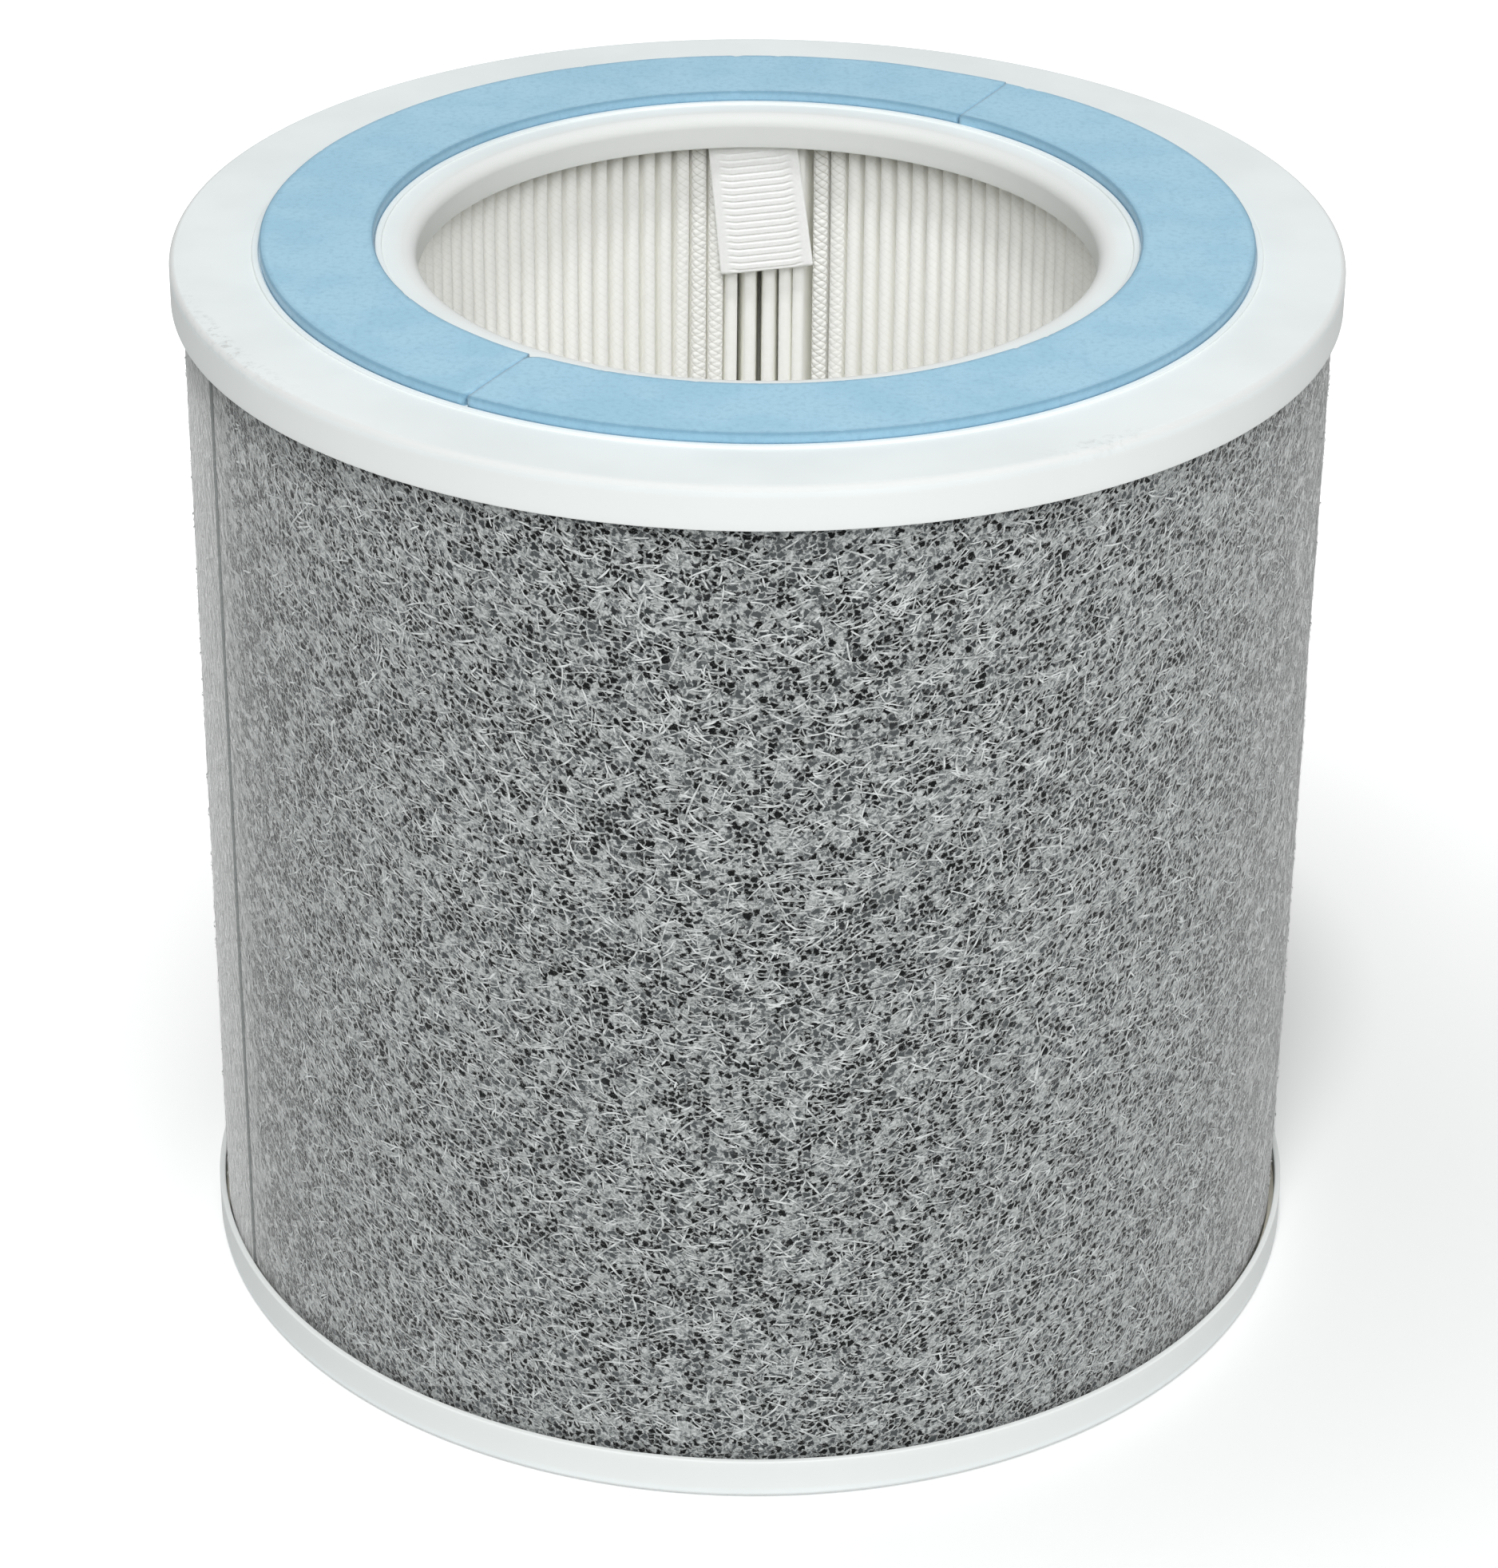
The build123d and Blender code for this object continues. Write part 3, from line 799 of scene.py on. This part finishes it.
def webbing_loop():
    """Closed section of the folded strip in (depth, level), carried across the width.

    The outer face goes down the front, half round the fold and up the back; the inner face comes back.
    Narrow grooves lie across that way, fade out towards the smooth edges and hook up there.
    """
    depth = 2 * TAB_THICKNESS + TAB_LOOP_GAP
    fold_middle = TAB_FRONT + depth / 2
    fold_level = COLLAR_LIP - TAB_DROP + depth / 2
    top = PACK_TOP + 1.2 * MM
    straight = top - fold_level
    outer_radius, inner_radius = depth / 2, TAB_LOOP_GAP / 2
    spacing = 0.14 * MM

    def run(radius):
        """Down one side, round the fold and up the other: depth, level, share of the way and way out."""
        total = 2 * straight + np.pi * radius
        way = np.linspace(0, total, int((2 * straight + np.pi * outer_radius) / spacing))
        turn = np.clip((way - straight) / radius, 0, np.pi)
        past = np.clip(way - straight - np.pi * radius, 0, None)
        level = fold_level - radius * np.sin(turn) + np.where(way < straight, straight - way, past)
        return fold_middle - radius * np.cos(turn), level, way / total, -np.cos(turn), -np.sin(turn)

    outer = np.array(run(outer_radius))
    inner = np.array(run(inner_radius))[:, ::-1]
    across = np.linspace(-1, 1, TAB_STATIONS)
    across = (np.sign(across) * (1 - (1 - np.abs(across)) ** 1.35))[:, None] * TAB_WIDTH / 2
    length = 2 * straight + np.pi * outer_radius
    edge_round = np.sqrt(np.clip(1 - (np.abs(across) / (TAB_WIDTH / 2)) ** 14, 0, 1))
    rib_end = TAB_WIDTH / 2 - SMOOTH_EDGE
    ribbed = 1 - smooth(np.abs(across), rib_end - 0.8 * MM, rib_end + 0.3 * MM)
    hook = RIB_HOOK * smooth(np.abs(across), TAB_WIDTH / 2 - 4.2 * MM, TAB_WIDTH / 2 - 1.6 * MM)
    faces = []
    for depths, levels, share, out_depth, out_level, side in ((*outer, 1), (*inner, -1)):
        way = share[None] * length
        bowed = hook * np.where(share[None] < 0.5, 1, -1)
        wave = np.cos(2 * np.pi * (way + bowed) / RIB_PITCH)
        groove = -2 * RIB_RELIEF * smooth(-wave, 0.4, 1.0) * ribbed
        thin = (1 - edge_round) * TAB_THICKNESS * 0.32
        push = (groove - thin) * side
        face_depth = depths[None] + out_depth[None] * push
        face_level = levels[None] + out_level[None] * push
        faces.append(np.stack([across + 0 * face_depth, face_depth, face_level], axis=-1))
    return np.concatenate(faces, axis=1)


def hung(points):
    """Leans the strip about the middle of its drop, and cuts it off level with the glue."""
    lean = np.radians(TAB_LEAN)
    pivot = COLLAR_LIP - TAB_DROP / 2
    level = points[..., 2] - pivot
    across = points[..., 0] * (1 - TAB_FLARE * level / (TAB_DROP / 2))
    leaned_x = TAB_OFFSET + across * np.cos(lean) - level * np.sin(lean)
    leaned_z = np.minimum(pivot + across * np.sin(lean) + level * np.cos(lean), PACK_TOP)
    return np.stack([leaned_x, points[..., 1], leaned_z], axis=-1)


def white_webbing():
    """Bleached woven tape: fine weave on the ribs, a little sheen."""
    finish, tree, shader = new_finish("white_webbing", 0.75, **{"Sheen Weight": 0.25})
    place = put(tree, "ShaderNodeTexCoord").outputs["Object"]
    weave = noise(tree, place, 0.25 * MM, 3.0, 0.6)
    clouds = use(tree, cloudy_tone, Place=place, Size=0.006)
    white = paint(*TAB_WHITE)
    dull = paint(*(tone - TAB_DRIFT for tone in TAB_WHITE))
    feed(tree, shader, Base_Color=mixed(tree, ranged(tree, clouds.outputs["Fine"], 0.3, 0.7), dull, white))
    feed(tree, shader, Normal=relief(tree, weave, 0.35, 0.08 * MM))
    return finish


tab = surface("webbing_pull_tab", hung(webbing_loop()), wrap_columns=True, lids=True)
tab.data.materials.append(white_webbing())
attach(tab, "root")
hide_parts("pull_tab")


# Gasket
# Two half rings of pale blue foam, stuck down between the ribs and butted together at two joints.
# At each joint one corner was cut a little short; the knife left small nicks along the edges.

GASKET_INSIDE = 71.9 * MM
GASKET_OUTSIDE = 93.2 * MM
GASKET_THICKNESS = 2.3 * MM
GASKET_ROUND = 0.45 * MM
JOINT_GAP = 0.4 * MM
JOINT_AZIMUTH = 56.85
JOINT_SKEW = 1.2
CUT_ALONG = 2.6 * MM
CUT_ACROSS = 1.8 * MM
OUTER_CUT = 1.0 * MM
OUTER_CUT_ACROSS = 1.6 * MM
END_SHIFT = 0.4 * MM
FOAM_STEP = 0.8 * MM
FOAM_WAVE = 0.05 * MM
NICK_DEPTH = 0.28 * MM
EDGE_DROP = 0.04 * MM
FOAM_BLUE = (158, 202, 224)
FOAM_PALE = (167, 208, 229)
FOAM_DEEP_AND_SIDE_SHADE = (134, 175, 200)
FOAM_EDGE_SHADE = (100, 140, 164)


def foam_half(side):
    """Section carried round half a turn; its ends are parallel to the joint line, which is a little askew.

    The front half's first inner corner is cut off and so is the back half's outer corner beside it; the
    front half's last end lies a little inwards of the back half's.
    """
    inside, outside, high = GASKET_INSIDE, GASKET_OUTSIDE, GASKET_THICKNESS
    bend = np.radians(np.linspace(0, 90, 6))
    side_levels = np.linspace(0, high - GASKET_ROUND, 4)
    left = np.stack([np.full(4, inside), side_levels], -1)
    left_arc = np.stack([
        inside + GASKET_ROUND * (1 - np.cos(bend)), high - GASKET_ROUND + GASKET_ROUND * np.sin(bend)
    ], -1)[1:]
    count = int((outside - inside) / FOAM_STEP)
    flat = np.stack([
        np.linspace(inside + GASKET_ROUND, outside - GASKET_ROUND, count), np.full(count, high)
    ], -1)[1:-1]
    right = np.concatenate([left, left_arc])[::-1] * np.array([-1, 1]) + np.array([inside + outside, 0])
    over = np.concatenate([left, left_arc, flat, right])
    under = np.stack([over[::-1, 0], np.zeros(len(over))], -1)
    under[:, 0] = np.linspace(outside - 0.01 * MM, inside + 0.01 * MM, len(over))
    section = np.concatenate([over, under])
    radius, level = section[None, :, 0], section[None, :, 1]
    steps = int(np.pi * outside / FOAM_STEP)
    share = np.linspace(0, 1, steps)[:, None]
    gap = np.arcsin(JOINT_GAP / 2 / radius)
    cut = CUT_ALONG * np.clip(1 - (radius - inside) / CUT_ACROSS, 0, 1) / radius
    outer_cut = OUTER_CUT * np.clip(1 - (outside - radius) / OUTER_CUT_ACROSS, 0, 1) / radius
    skew = np.radians(JOINT_SKEW) * ((radius - inside) / (outside - inside) - 0.5)
    start_angle = skew + gap + (cut if side == 1 else 0.2 * cut)
    end_angle = skew + np.pi - gap - (0 if side == 1 else outer_cut)
    spread = start_angle + (end_angle - start_angle) * share
    turn = np.radians(JOINT_AZIMUTH) + (spread if side == -1 else spread + np.pi)
    radius = radius - (END_SHIFT * smooth(share, 0.96, 1.0) if side == 1 else 0)
    points = np.stack([radius * np.cos(turn), radius * np.sin(turn), level + 0 * turn], axis=-1)
    top_edge = smooth(level, high - 3 * GASKET_ROUND, high) + 0 * turn
    at_edge = 1 - smooth(np.minimum(radius - inside, outside - radius), 0, 1.6 * MM) + 0 * turn
    nicks = np.clip(ripple(points, 30, 7 * MM, 1.4 * MM, 31 + side) - 0.45, 0, None)
    soft = ripple(points, 16, 40 * MM, 9 * MM, 41 + side)
    points[..., 2] += top_edge * (FOAM_WAVE * soft - NICK_DEPTH * nicks * at_edge - EDGE_DROP)
    points[..., 2] += FACE_LEVEL
    return points


def blue_foam():
    """Fine closed-cell foam: mottled blue, dry and matt; painted shade darkens its sides and lines its top
    edges.
    """
    finish, tree, shader = new_finish("blue_foam", 0.9, **{"Specular IOR Level": 0.2, "Sheen Weight": 0.2})
    place = put(tree, "ShaderNodeTexCoord").outputs["Object"]
    mottle = use(tree, cloudy_tone, Place=place, Size=0.011)
    cells = noise(tree, place, 0.45 * MM, 3.0, 0.6, 0.3)
    base = mixed(tree, ranged(tree, mottle.outputs["Tone"], 0.35, 0.65), paint(*FOAM_BLUE), paint(*FOAM_PALE))
    base = mixed(tree, ranged(tree, mottle.outputs["Fine"], 0.45, 0.72, 0.0, 0.34), base, paint(*FOAM_DEEP_AND_SIDE_SHADE))
    fleck = noise(tree, place, 0.8 * MM, 3.0, 0.7)
    base = mixed(tree, ranged(tree, fleck, 0.52, 0.72, 0.0, 0.3), base, paint(*FOAM_DEEP_AND_SIDE_SHADE))
    # Painted shade on the sides of the foam.
    side = put(tree, "ShaderNodeAttribute", attribute_name="painted_side_shade").outputs["Fac"]
    base = mixed(tree, maths(tree, "MULTIPLY", side, 0.4), base, paint(*FOAM_DEEP_AND_SIDE_SHADE))
    # Painted shade: a thin dark line along the top's rounded edges.
    edge = put(tree, "ShaderNodeAttribute", attribute_name="top_edge").outputs["Fac"]
    base = mixed(tree, maths(tree, "MULTIPLY", edge, 0.7), base, paint(*FOAM_EDGE_SHADE))
    height = maths(tree, "ADD", cells, maths(tree, "MULTIPLY", mottle.outputs["Fine"], 0.6))
    feed(tree, shader, Base_Color=base, Normal=relief(tree, height, 0.5, 0.12 * MM))
    return finish


foam_finish = blue_foam()
for side, name, node in ((1, "gasket_front", "gasket_front_half"), (-1, "gasket_back", "gasket_back_half")):
    points = foam_half(side)
    half_ring = surface(name, points, wrap_columns=True, lids=True)
    ring = np.hypot(points[..., 0], points[..., 1])
    inwards = np.minimum(ring - GASKET_INSIDE, GASKET_OUTSIDE - ring)
    high = smooth(points[..., 2] - FACE_LEVEL, GASKET_THICKNESS - 0.7 * MM, GASKET_THICKNESS - 0.3 * MM)
    # The sides take painted shade, and so does a thin line along the top's rounded edges.
    mark(half_ring, "painted_side_shade", 1 - high)
    mark(half_ring, "top_edge", high * (1 - smooth(inwards, 0.25 * MM, 0.6 * MM)))
    half_ring.data.materials.append(foam_finish)
    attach(half_ring, "root")
    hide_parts(node)


# Studio
# A white floor under a pale sky, lit by a soft box in front and by a small lamp high above it.
# The small lamp throws the collar's shadow into the bore; the camera stands where the photo was taken.

FLOOR_SIZE = 12.0
FLOOR_WHITE = (232, 233, 233)
FLOOR_SHADE_PLACE = (0.065, 0.0, 0.0)
FLOOR_LIFT_REACH = (0.06, 0.5)
FLOOR_LIFT = (0.11, 1.0)
SKY_FILL = 0.3
SKY_PLAIN = 1.0
LIT_POINT = (0, 0, 0.12)
FRONT_BOX_PLACE = (0.22, -1.45, 1.36)
FRONT_BOX_POWER = 20.2
HIGH_LAMP_PLACE = (-0.15, -0.85, 2.3)
HIGH_LAMP_POWER = 1.15
CAMERA_PLACE = (0.0, -0.82596, 0.5472)
CAMERA_PITCH = 28.783
CAMERA_ROLL = 0.4344
CAMERA_HEADING = -0.0579
CAMERA_LENS = 108.29


def studio_floor():
    """White floor that keeps the shadow; to the camera it is lifted towards plain white, least near a point
    right of the base, which paints shade round the base, darkest to its right.
    """
    finish, tree, shader = new_finish("studio_floor", 0.9, **{"Specular IOR Level": 0.1})
    shader.inputs["Base Color"].default_value = paint(*FLOOR_WHITE)
    seen = put(tree, "ShaderNodeLightPath").outputs["Is Camera Ray"]
    place = put(tree, "ShaderNodeTexCoord").outputs["Object"]
    # Painted shade: the lift grows with distance from a point right of the base.
    away = put(tree, "ShaderNodeVectorMath", {0: place, 1: FLOOR_SHADE_PLACE}, operation="DISTANCE")
    lift = ranged(tree, away.outputs["Value"], *FLOOR_LIFT_REACH, *FLOOR_LIFT)
    strength = maths(tree, "MULTIPLY", seen, lift)
    glow = put(tree, "ShaderNodeEmission", {"Color": (1, 1, 1, 1), "Strength": strength})
    both = put(tree, "ShaderNodeAddShader", {0: shader.outputs[0], 1: glow.outputs[0]})
    out = next(node for node in tree.nodes if node.bl_idname == "ShaderNodeOutputMaterial")
    tree.links.new(both.outputs[0], out.inputs["Surface"])
    return finish


def lamp(name, kind, energy, place, **settings):
    """A lamp at a place, turned to shine at the lit point."""
    light = bpy.data.lights.new(name, kind)
    light.energy = energy
    for setting, value in settings.items():
        setattr(light, setting, value)
    holder = bpy.data.objects.new(name, light)
    away = Vector(place) - Vector(LIT_POINT)
    holder.matrix_world = Matrix.Translation(place) @ away.to_track_quat("Z", "Y").to_matrix().to_4x4()
    bpy.context.scene.collection.objects.link(holder)


near_edge = np.array([[-1, -1, 0], [1, -1, 0]]) * FLOOR_SIZE / 2
floor = surface("floor", np.stack([near_edge, near_edge * np.array([1, -1, 1])]))
floor.data.materials.append(studio_floor())

world = bpy.data.worlds.new("pale_sky")
world.use_nodes = True
sky = world.node_tree
sky.nodes.clear()
path = put(sky, "ShaderNodeLightPath")
direct = maths(sky, "MAXIMUM", path.outputs["Is Camera Ray"], path.outputs["Is Glossy Ray"])
direct = maths(sky, "MAXIMUM", direct, path.outputs["Is Transmission Ray"])
fill = put(sky, "ShaderNodeBackground", {"Color": (1, 1, 1, 1), "Strength": SKY_FILL})
plain = put(sky, "ShaderNodeBackground", {"Color": (1, 1, 1, 1), "Strength": SKY_PLAIN})
shown = put(sky, "ShaderNodeMixShader", {0: direct, 1: fill.outputs[0], 2: plain.outputs[0]})
put(sky, "ShaderNodeOutputWorld", {"Surface": shown.outputs[0]})
bpy.context.scene.world = world

lamp("front_box", "AREA", FRONT_BOX_POWER, FRONT_BOX_PLACE, shape="RECTANGLE", size=1.4, size_y=0.9)
lamp("high_lamp", "SUN", HIGH_LAMP_POWER, HIGH_LAMP_PLACE, angle=np.radians(9))

camera = bpy.data.objects.new("camera", bpy.data.cameras.new("camera"))
camera.data.lens = CAMERA_LENS
camera.data.sensor_width = 36.0
camera.data.clip_end = 40.0
heading, pitch, roll = np.radians([CAMERA_HEADING, CAMERA_PITCH, CAMERA_ROLL])
turning = Matrix.Rotation(-heading, 4, "Z") @ Matrix.Rotation(np.pi / 2 - pitch, 4, "X")
camera.matrix_world = Matrix.Translation(CAMERA_PLACE) @ turning @ Matrix.Rotation(roll, 4, "Z")
bpy.context.scene.collection.objects.link(camera)
bpy.context.scene.camera = camera
bpy.context.scene.view_settings.view_transform = "Standard"
bpy.context.scene.cycles.max_bounces = 32
bpy.context.scene.cycles.diffuse_bounces = 28
